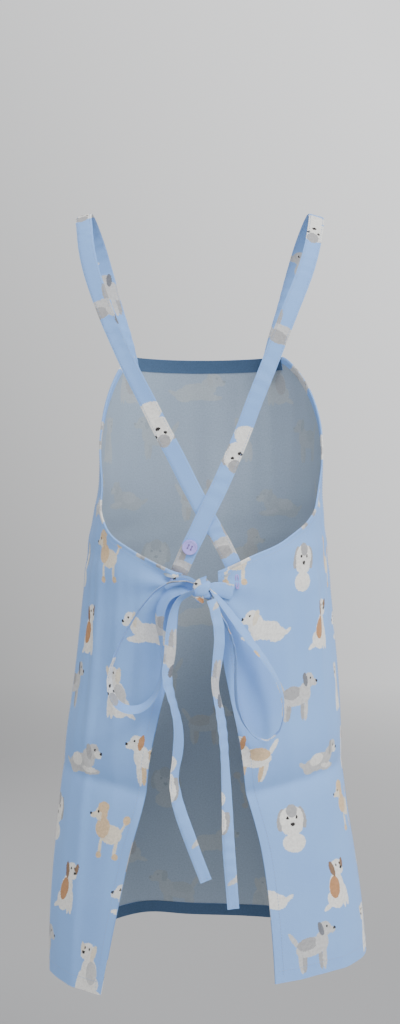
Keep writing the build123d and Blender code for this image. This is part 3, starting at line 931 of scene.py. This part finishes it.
def hung_point(s, z):
    """Where the cloth hangs before it settles."""
    angle, _, _ = turn_at(s, z)
    bearing = np.radians(angle)
    on_left = np.cos(bearing) > 0
    width = np.where(on_left, along(LEFT_SIDE, z), along(RIGHT_SIDE, z))
    behind = np.sin(bearing) > 0
    depth = np.where(behind, along(BACK_DEPTH, z) - CENTRE_Y, along(FRONT_DEPTH, z) + CENTRE_Y)
    return np.stack([width * np.cos(bearing), CENTRE_Y + depth * np.sin(bearing), z + 0 * bearing], -1)


def top_edge(s):
    """Height of the cloth's top edge at place s."""
    z = np.full_like(s, -0.3)
    for _ in range(30):
        angle, _, _ = turn_at(s, z)
        left = along(LEFT_TOP, angle)
        right = along(RIGHT_TOP, -180 - angle)
        z = 0.5 * z + 0.5 * np.where(angle > -90, left, right)
    return z


# the cloth's grid: steps round the body, closer together near the back edges, and steps downward
AROUND = 190
DOWNWARD = 120
EVEN = np.linspace(0, 1, AROUND + 1)
S_LINE = EVEN - 0.6 * np.sin(2 * np.pi * EVEN) / (2 * np.pi)
TOP_LINE = top_edge(S_LINE)


def hung_grid():
    s = S_LINE[:, None]
    fall = np.linspace(0, 1, DOWNWARD + 1)[None, :]
    z = TOP_LINE[:, None] + (HEM_Z - TOP_LINE[:, None]) * fall
    s = s + 0 * z
    return hung_point(s, z)


def grid_faces(rows, columns):
    faces = []
    for i in range(rows):
        for j in range(columns):
            a = i * (columns + 1) + j
            faces.append((a, a + 1, a + columns + 2, a + columns + 1))
    return faces


def body_form():
    """A plain form for the cloth to hang against while it settles; it is taken away afterwards."""
    rings = [
        (-0.10, 0.118, 0.075, -0.092), (-0.20, 0.119, 0.095, -0.118), (-0.28, 0.114, 0.096, -0.118),
        (-0.36, 0.112, 0.098, -0.106), (-0.43, 0.118, 0.104, -0.104), (-0.50, 0.134, 0.110, -0.110),
        (-0.58, 0.148, 0.113, -0.116), (-0.66, 0.154, 0.112, -0.118), (-0.76, 0.152, 0.106, -0.112),
    ]
    points = []
    for z, width, back, front in rings:
        for k in range(48):
            turn = 2 * math.pi * k / 48
            middle = (back + front) / 2
            points.append((width * math.cos(turn), middle + (back - front) / 2 * math.sin(turn), z))
    faces = []
    for i in range(len(rings) - 1):
        for k in range(48):
            a = i * 48 + k
            b = i * 48 + (k + 1) % 48
            faces.append((a + 48, b + 48, b, a))
    faces.append(tuple(range(48)))
    faces.append(tuple(reversed(range((len(rings) - 1) * 48, len(rings) * 48))))
    return make_mesh("hanging_form", points, faces)


def settle(grid):
    """The cloth's shape after it has hung under its own weight for a moment."""
    count = grid.shape[0] * grid.shape[1]
    cloth = make_mesh("settling_cloth", grid.reshape(count, 3), grid_faces(AROUND, DOWNWARD))
    held = cloth.vertex_groups.new(name="held")
    for i in range(grid.shape[0]):
        edge = min(S_LINE[i], 1 - S_LINE[i]) * 1.04
        for j in range(grid.shape[1]):
            below = TOP_LINE[i] - grid[i, j, 2]
            weight = 1.0 if j < 3 else 0.012 + 0.10 * math.exp(-below / 0.10)
            if edge < 0.05:
                weight = max(weight, 1.15 - math.hypot(edge, below) / 0.05)
            held.add([i * grid.shape[1] + j], min(1.0, weight), "REPLACE")
    form = body_form()
    form.modifiers.new("form", "COLLISION")
    hang = cloth.modifiers.new("hang", "CLOTH")
    wanted = {
        form.collision: {"thickness_outer": 0.002, "cloth_friction": 4},
        hang.settings: {
            "quality": 6, "mass": 0.12, "tension_stiffness": 18, "compression_stiffness": 14,
            "shear_stiffness": 5, "bending_stiffness": 1.1, "air_damping": 2.0, "vertex_group_mass": "held",
            "pin_stiffness": 0.6, "shrink_min": -0.022,
        },
        hang.collision_settings: {"distance_min": 0.002, "collision_quality": 2},
        hang.point_cache: {"frame_start": 1, "frame_end": 60},
    }
    for settings, values in wanted.items():
        for key, value in values.items():
            setattr(settings, key, value)
    scene = bpy.context.scene
    for step in range(1, 46):
        scene.frame_set(step)
    graph = bpy.context.evaluated_depsgraph_get()
    settled = cloth.evaluated_get(graph).to_mesh()
    flat = np.empty(count * 3)
    settled.vertices.foreach_get("co", flat)
    cloth.evaluated_get(graph).to_mesh_clear()
    scene.frame_set(1)
    for used in (cloth, form):
        bpy.data.objects.remove(used, do_unlink=True)
    moved = flat.reshape(grid.shape) - grid
    reach = np.linalg.norm(moved, axis=-1, keepdims=True)
    moved *= np.minimum(1.0, 0.014 / np.maximum(reach, 1e-9))
    return grid + moved


def soften(field, times):
    """Evens out a grid of values between its neighbours."""
    for _ in range(times):
        wide = np.pad(field, ((1, 1), (1, 1), (0, 0)), mode="edge")
        beside = wide[:-2, 1:-1] + wide[2:, 1:-1] + wide[1:-1, :-2] + wide[1:-1, 2:]
        field = (beside + 4 * field) / 8
    return field


def grid_normals(grid):
    du = np.gradient(grid, axis=0)
    dv = np.gradient(grid, axis=1)
    normal = unit(np.cross(du, dv))
    flip = np.sign(np.sum(normal * grid * np.array([1, 1, 0.0]), -1, keepdims=True))
    return normal * np.where(flip == 0, 1, flip)


def press_line(x):
    """Height of the pressed line across the back at a distance x from the middle."""
    return -0.706 + 0.145 * np.abs(x)


def at_the_back(y):
    return np.clip((y + 0.02) / 0.08, 0, 1)


def painted_crease_shade(grid):
    """Painted shade and light along the pressed line: darker just above it and lighter just below, as the
    crease's valley would be shaded and lit.
    """
    x, y, z = grid[..., 0], grid[..., 1], grid[..., 2]
    away = z - press_line(x)
    above = np.clip(away / 0.003 + 0.5, 0, 1)
    shade = 0.12 * above * np.exp(-np.abs(away) / 0.022) - 0.06 * (1 - above) * np.exp(-np.abs(away) / 0.03)
    return shade * at_the_back(y)


def pressed_and_pulled(grid):
    """Adds the folds that ironing and tying leave: a pressed line across, and pulls at the waist corners."""
    x, y, z = grid[..., 0], grid[..., 1], grid[..., 2]
    away = z - press_line(x)
    push = -0.0060 * np.exp(-np.abs(away) / 0.014) * at_the_back(y)
    push += 0.0022 * np.exp(-(((away - 0.045) / 0.028) ** 2)) * at_the_back(y)
    for side, at_x, size, folds, phase in ((1, 0.019, 0.0058, 9.0, 0.4), (-1, -0.019, 0.0032, 6.0, 1.3)):
        dx = (x - at_x) * side
        dz = z + 0.458
        reach = np.hypot(dx, dz)
        bearing = np.arctan2(dz, np.maximum(dx, 1e-4))
        here = np.clip(dx / 0.006, 0, 1) * (y > 0)
        fade = np.exp(-(reach / 0.045)) * np.clip(reach / 0.014, 0, 1)
        push += here * size * np.sin(folds * bearing + phase) * fade
    push += 0.0016 * np.sin(x * 46 + z * 9) * np.clip((-0.55 - z) / 0.25, 0, 1)
    at_waist = np.exp(-(((z + 0.41) / 0.05) ** 2)) * np.clip(np.abs(x) / 0.1, 0, 1)
    push += 0.0009 * np.sin(z * 150 + x * 40) * at_waist
    return grid + grid_normals(grid) * push[..., None]


base = hung_grid()
settled = settle(base)
# the cloth keeps part of the way it moved, and near its back edges hardly any of the sideways part
KEPT_MOVE = np.array([0.45, 0.45, 0.2])
moved = soften(settled - base, 2) * KEPT_MOVE
near_edge = np.clip(1 - np.minimum(S_LINE, 1 - S_LINE) / 0.06, 0, 1)[:, None]
moved[..., 0] *= 1 - 0.8 * near_edge
# how far the hem hangs below or above level, by place round the body
DROOP = [
    (0.0, -0.011), (0.12, -0.012), (0.22, -0.011), (0.28, -0.003), (0.34, 0.006), (0.40, 0.010),
    (0.46, 0.005), (0.5, 0.003), (0.58, 0.005), (0.66, 0.009), (0.74, 0.010), (0.88, 0.010), (1.0, 0.008),
]
low_down = np.clip((-0.60 - base[..., 2]) / 0.32, 0, 1)
moved[..., 2] += along(DROOP, S_LINE)[:, None] * low_down
CLOTH = pressed_and_pulled(base + moved)
# painted shade and light along the pressed crease, kept on each cloth piece for its material
PAINTED_CREASE_SHADE = painted_crease_shade(base)
CLOTH_NORMAL = grid_normals(CLOTH)

# distance round the body from the middle of the front, along each row of the cloth
steps = np.linalg.norm(np.diff(CLOTH, axis=0), axis=-1)
ROUND = np.concatenate([np.zeros((1, DOWNWARD + 1)), np.cumsum(steps, axis=0)], axis=0)
ROUND_MAP = ROUND - ROUND[AROUND // 2][None, :]


def read_grid(field, s, z):
    """A grid's value at places given by s and height."""
    top = top_of(s)
    i = np.interp(s, S_LINE, np.arange(AROUND + 1))
    j = np.clip((top - z) / (top - HEM_Z), 0, 1) * DOWNWARD
    i0 = np.clip(np.floor(i).astype(int), 0, AROUND - 1)
    j0 = np.clip(np.floor(j).astype(int), 0, DOWNWARD - 1)
    total = 0
    for di in (-1, 0, 1, 2):
        for dj in (-1, 0, 1, 2):
            weight = bump_weight(i - i0 - di) * bump_weight(j - j0 - dj)
            value = field[np.clip(i0 + di, 0, AROUND), np.clip(j0 + dj, 0, DOWNWARD)]
            total = total + (value * weight[..., None] if value.ndim > weight.ndim else value * weight)
    return total


def bump_weight(d):
    """A cubic B-spline's weight at distance d."""
    d = np.abs(d)
    near = 2 / 3 - d**2 + d**3 / 2
    far = np.clip(2 - d, 0, None) ** 3 / 6
    return np.where(d < 1, near, far)


def side_seam(z):
    """Places s of the left and right sides at height z."""
    _, left, right = turn_at(np.zeros_like(z), z)
    whole = left + 180 + right
    return left / whole, (left + 180) / whole


def top_of(s):
    return np.interp(s, S_LINE, TOP_LINE)


def width_at(z):
    """Length of cloth round the body at height z, back edge to back edge."""
    return read_grid(ROUND, np.ones_like(z), z) - read_grid(ROUND, np.zeros_like(z), z)


def cloth_line(s, z, lift=0.0002):
    """Places on the cloth, or just off it, and the outward direction at each."""
    normal = unit(read_grid(CLOTH_NORMAL, s, z))
    return read_grid(CLOTH, s, z) + normal * lift, normal


def cloth_piece(name, s, z, lift, thick, uv_shift=(0, 0), reverse=None):
    """A sheet of cloth over a grid of places, lifted off the main cloth by a small distance."""
    point, normal = cloth_line(s, z, lift)
    made = make_mesh(name, point.reshape(-1, 3), grid_faces(s.shape[0] - 1, s.shape[1] - 1))
    # painted shade along the pressed crease, one value per point
    shade = made.data.attributes.new("crease_painted_shade", "FLOAT", "POINT")
    shade.data.foreach_set("value", read_grid(PAINTED_CREASE_SHADE, s, z).reshape(-1).astype(np.float32))
    across = read_grid(ROUND_MAP, s, z) + uv_shift[0]
    uv = np.stack([-across.reshape(-1), z.reshape(-1) + uv_shift[1]], -1)
    corners = np.empty(len(made.data.loops), int)
    made.data.loops.foreach_get("vertex_index", corners)
    made.data.uv_layers.new(name="cloth").data.foreach_set("uv", uv[corners].reshape(-1))
    face_along(made, normal.reshape(-1, 3), len(made.data.polygons) // 2)
    thicken(made, thick, reverse or CLOTH_REVERSE)
    return made


def face_along(made, normal, which):
    """Turns a sheet so that one of its faces, and so all, points along the cloth's outward direction."""
    face = made.data.polygons[which]
    if Vector(normal[face.vertices[0]]).dot(face.normal) < 0:
        made.data.flip_normals()


def thicken(made, thick, reverse):
    """Gives a sheet its thickness, with the given inner finish on its inner face: the cloth's wrong side, or
    on turned hems a plain dark blue that is painted shade.
    """
    made.data.materials.append(CLOTH_FACE)
    made.data.materials.append(reverse)
    wall = made.modifiers.new("thickness", "SOLIDIFY")
    wall.thickness = thick
    wall.offset = -1
    wall.material_offset = 1
    only(made)
    bpy.ops.object.modifier_apply(modifier=wall.name)
    bpy.ops.object.shade_smooth_by_angle(angle=math.radians(50))


def patch(s_low, s_high, z_low, z_high, columns, rows):
    """Places over a region of cloth. s_low and s_high are functions of height, z_low and z_high of place."""
    t = np.linspace(0, 1, columns + 1)[:, None]
    f = np.linspace(0, 1, rows + 1)[None, :]
    z = HEM_Z + (1 - f) * (BIB_TOP_Z - HEM_Z) + 0 * t
    for _ in range(25):
        s = s_low(z) * (1 - t) + s_high(z) * t
        z = z_high(s) + (z_low(s) - z_high(s)) * f
    return s, z


def constant(value):
    return lambda at: value + 0 * at


def below_top(depth):
    return lambda s: top_of(s) - depth


def left_seam(z):
    return side_seam(z)[0]


def right_seam(z):
    return side_seam(z)[1]


CLOTH_THICK = 0.0006
HEM_DEPTH = 0.017
EDGE_DEPTH = 0.012
BEHIND_CLOTH = -CLOTH_THICK - 0.0002
TURNED = 0.0006
SEAM_TO_EDGE = {"left": (constant(0.0), left_seam), "right": (right_seam, constant(1.0))}
AT_HEM = constant(HEM_Z)
TOP_OF_HEM = constant(HEM_Z + HEM_DEPTH)


def corner_blend(made):
    """Bakes a piece's placement into its points, for the lower back corner of a skirt panel."""
    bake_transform(made)


def edge_s(side, distance, z):
    """The place s at a distance in from a back edge."""
    part = distance / width_at(z)
    return part if side == "left" else 1 - part


def turned_fold(name, s, z, lift=BEHIND_CLOTH, uv_shift=(0.03, 0.02)):
    """A hem's cloth, turned to the inside; its inner face is a plain dark blue, painted shade for the inside
    of the apron.
    """
    return cloth_piece(name, s, z, lift, TURNED, uv_shift, HEM_PAINTED_SHADE)


front_s, front_z = patch(left_seam, right_seam, AT_HEM, top_of, 132, 170)
front = cloth_piece("front_cloth", front_s, front_z, 0, CLOTH_THICK)
belongs(front, "apron", "print_cloth", "front_panel")
front_hem = turned_fold("front_bottom_hem_fold", *patch(left_seam, right_seam, AT_HEM, TOP_OF_HEM, 132, 4))
belongs(front_hem, "apron", "hem_cloth", "front_bottom_hem")

back_panels = {}
for side in SIDES:
    s, z = patch(*SEAM_TO_EDGE[side], AT_HEM, top_of, 64, 150)
    made = cloth_piece(f"{side}_back_panel_cloth", s, z, 0, CLOTH_THICK)
    belongs(made, None, "print_cloth", f"{side}_back_panel", f"{side}_corner_panel")
    back_panels[side] = (made, s, z)
    hem = turned_fold(f"{side}_bottom_hem_fold", *patch(*SEAM_TO_EDGE[side], AT_HEM, TOP_OF_HEM, 56, 4))
    belongs(hem, None, "hem_cloth", f"{side}_back_bottom_hem", f"{side}_corner_bottom_hem")
    strip = [lambda z, d=d: edge_s(side, d, z) for d in (0, EDGE_DEPTH)]
    if side == "right":
        strip.reverse()
    s, z = patch(*strip, AT_HEM, below_top(0.004), 4, 120)
    edge = turned_fold(f"{side}_back_edge_fold", s, z, BEHIND_CLOTH - TURNED, (0.021, 0.013))
    belongs(edge, None, "hem_cloth", f"{side}_back_edge_hem", f"{side}_corner_edge_hem")
    for piece in (made, hem, edge):
        corner_blend(piece)

# ---------------------------------------------------------------- bib hem, bindings, sewing on the cloth


def s_at_angle(angle, s):
    """The place s on the top edge at an angle round the body, from a first guess."""
    for _ in range(40):
        _, left, right = turn_at(0.0, top_of(s))
        s = float((left - angle) / (left + 180 + right))
    return s


BIB_LEFT_S = s_at_angle(-38, 0.15)
BIB_RIGHT_S = s_at_angle(-142, 0.85)
BIB_HEM = (BIB_LEFT_S + 0.004, BIB_RIGHT_S - 0.004)

bib_places = patch(*map(constant, BIB_HEM), below_top(0.018), top_of, 60, 5)
bib_fold = turned_fold("bib_top_hem_fold", *bib_places, uv_shift=(0.03, 0.04))
belongs(bib_fold, "apron", "hem_cloth", "bib_top_hem")

# the turned-under edge of each armhole, as a folded strip that wraps the cloth's raw edge
WRAP = [
    (0.0030, 0.0002), (0.0012, 0.0006), (-0.0001, 0.0007), (-0.0009, 0.0000), (-0.0009, -0.0010),
    (0.0002, -0.0019), (0.0030, -0.0019), (0.0060, -0.0017), (0.0080, -0.0016),
]


def armhole_binding(side):
    middle = 75
    s = np.linspace(*((0.0005, BIB_LEFT_S) if side == "left" else (BIB_RIGHT_S, 0.9995)), 2 * middle)
    edge, normal = cloth_line(s, top_of(s), 0)
    edge = smoothed(edge, 2)
    into = unit(np.cross(normal, directions(edge)))
    if into[middle, 2] > 0:
        into = -into
    points = np.array([[edge[i] + into[i] * d + normal[i] * h for d, h in WRAP] for i in range(len(s))])
    made = make_mesh(f"{side}_armhole_fold", points.reshape(-1, 3), grid_faces(len(s) - 1, len(WRAP) - 1))
    chart = made.data.uv_layers.new(name="cloth")
    run = distance_along(edge)
    wrap = distance_along(np.array(WRAP))
    for loop in made.data.loops:
        i, k = divmod(loop.vertex_index, len(WRAP))
        chart.data[loop.index].uv = (run[i] + 0.013, wrap[k] + 0.021)
    face_along(made, np.repeat(normal, len(WRAP), 0), middle * (len(WRAP) - 1))
    thicken(made, 0.0005, CLOTH_REVERSE)
    belongs(made, "apron", "hem_cloth", f"{side}_armhole_binding")
    row = cloth_line(s, top_of(s) - 0.0066 / np.clip(np.abs(into[:, 2]), 0.35, 1))
    belongs(stitches(f"{side}_armhole_stitching", [row]), "apron", "white_thread")


for side in SIDES:
    armhole_binding(side)


HEM_SEAMS = side_seam(np.array(HEM_Z))


def hem_row(low, high, count):
    """A row of topstitching along the hem."""
    return cloth_line(np.linspace(low, high, count), np.full(count, HEM_Z + HEM_DEPTH - 0.002))


for side, ends in zip(SIDES, ((0.003, HEM_SEAMS[0]), (HEM_SEAMS[1], 0.997))):
    z = np.linspace(-0.458, HEM_Z + 0.006, 260)
    rows = [cloth_line(edge_s(side, EDGE_DEPTH - 0.002, z), z), hem_row(*ends, 200)]
    sewing = belongs(stitches(f"{side}_skirt_stitching", rows), None, "white_thread")
    corner_blend(sewing)

s = np.linspace(*BIB_HEM, 120)
front_rows = [hem_row(*HEM_SEAMS, 300), cloth_line(s, top_of(s) - 0.016)]
for seam, beside in ((left_seam, 0.0022), (right_seam, -0.0022)):
    z = np.linspace(-0.30, HEM_Z + 0.004, 240)
    s = seam(z) + beside / width_at(z)
    low = top_of(s) > z + 0.008
    front_rows.append(cloth_line(s[low], z[low]))
front_sewing = belongs(stitches("front_stitching", front_rows), "apron", "white_thread")


def buttonhole(side, at_x, at_z):
    """A slit with close overcast stitches all round."""
    s = np.linspace(0.0, 0.25, 400) if side == "left" else np.linspace(0.75, 1.0, 400)
    reach = read_grid(CLOTH, s, np.full(400, at_z))
    best = s[np.argmin(np.abs(reach[:, 0] - at_x))]
    place, outward = cloth_line(np.array([best]), np.array([at_z]), 0)
    middle, out = place[0], outward[0]
    upright = unit(np.array([0, 0, 1.0]) - out * out[2])
    across = np.cross(upright, out)
    points = []
    faces = []
    count = 64
    for k in range(count):
        turn = 2 * math.pi * (k + 0.5) / count
        straight = 0.0072 * math.copysign(min(1, abs(math.sin(turn)) ** 0.55), math.sin(turn))
        ray = unit(across * math.cos(turn) + upright * math.sin(turn) * 0.35)
        root = middle + upright * straight + across * 0.0003 * math.cos(turn)
        side_way = unit(np.cross(ray, out))
        rings = [
            (root + ray * (0.0003 + 0.0018 * part), out, side_way, size, lift)
            for part, size, lift in ((0, 0.4, 0.6), (0.3, 1.0, 1.1), (0.7, 1.0, 1.1), (1, 0.4, 0.5))
        ]
        raised_stitch(points, faces, rings, 0.00034, 1.0)
    made = make_mesh(f"{side}_buttonhole", points, faces, LILAC_THREAD)
    face_out_and_smooth(made, 70)
    belongs(made, "apron", "lilac_thread", f"{side}_buttonhole_stitching")


buttonhole("left", 0.033, -0.457)
buttonhole("right", -0.043, -0.451)


def strap_square(side):
    """The square of stitches with a cross in it that holds a strap to the bib."""
    sign = 1 if side == "left" else -1
    middle = np.array([sign * 0.0872, -0.0885, -0.1865])
    out = unit(np.array([sign * 0.6, -0.8, 0.05]))
    upright = unit(np.array([sign * 0.20, 0.38, 0.90]))
    upright = unit(upright - out * float(np.dot(upright, out)))
    across = np.cross(upright, out)
    corners = [(-1, -1), (1, -1), (1, 1), (-1, 1), (-1, -1), (1, 1)]
    half = 0.0072
    t = np.linspace(0, 1, 12)[:, None]
    rows = []
    for (a, b), (c, d) in list(zip(corners, corners[1:])) + [((1, -1), (-1, 1))]:
        line = middle + across * half * (a + (c - a) * t) + upright * half * (b + (d - b) * t)
        for face, offset in ((1, 0.0012), (-1, -0.0030)):
            rows.append((line + out * offset, np.repeat(out[None] * face, 12, 0)))
    made = stitches(f"{side}_strap_square_stitching", rows)
    belongs(made, "apron", "white_thread", f"{side}_strap_box_stitch")


for side in SIDES:
    strap_square(side)
    for level in ("upper", "lower"):
        name = f"{side}_{level}_button"
        for part, finish in ((name, BUTTON), (name + "_thread", BUTTON_THREAD)):
            for slot in bpy.data.objects[part].material_slots:
                slot.material = finish

# ---------------------------------------------------------------- sheets, floor, finish


def sheet_of(s, z):
    """Works out where a panel's places hang before it settles; the result is not kept."""
    flat_grid = hung_point(s, z)


sheet_of(front_s, front_z)
for side, (made, s, z) in back_panels.items():
    sheet_of(s, z)


def pale_floor():
    """A pale floor that fades away into the room far out."""
    bpy.ops.object.select_all(action="DESELECT")
    bpy.ops.mesh.primitive_circle_add(vertices=96, radius=6.0, fill_type="NGON", location=(0, 0, -1.30))
    floor = bpy.context.active_object
    floor.name = "floor"
    made = bpy.data.materials.new("pale_floor")
    made.use_nodes = True
    r = Recipe(made.node_tree)
    paint = r.node("BsdfPrincipled", {"Base Color": (0.31, 0.31, 0.315, 1), "Roughness": 0.9})
    far = r.node("VectorMath", {0: r.node("TexCoord").outputs["Object"]}, operation="LENGTH")
    away = r.remap(far.outputs["Value"], 1.2, 5.6, 0.0, 1.0)
    r.node("OutputMaterial", {0: r.node("MixShader", {0: away, 1: paint, 2: r.node("BsdfTransparent")})})
    floor.data.materials.append(made)


pale_floor()
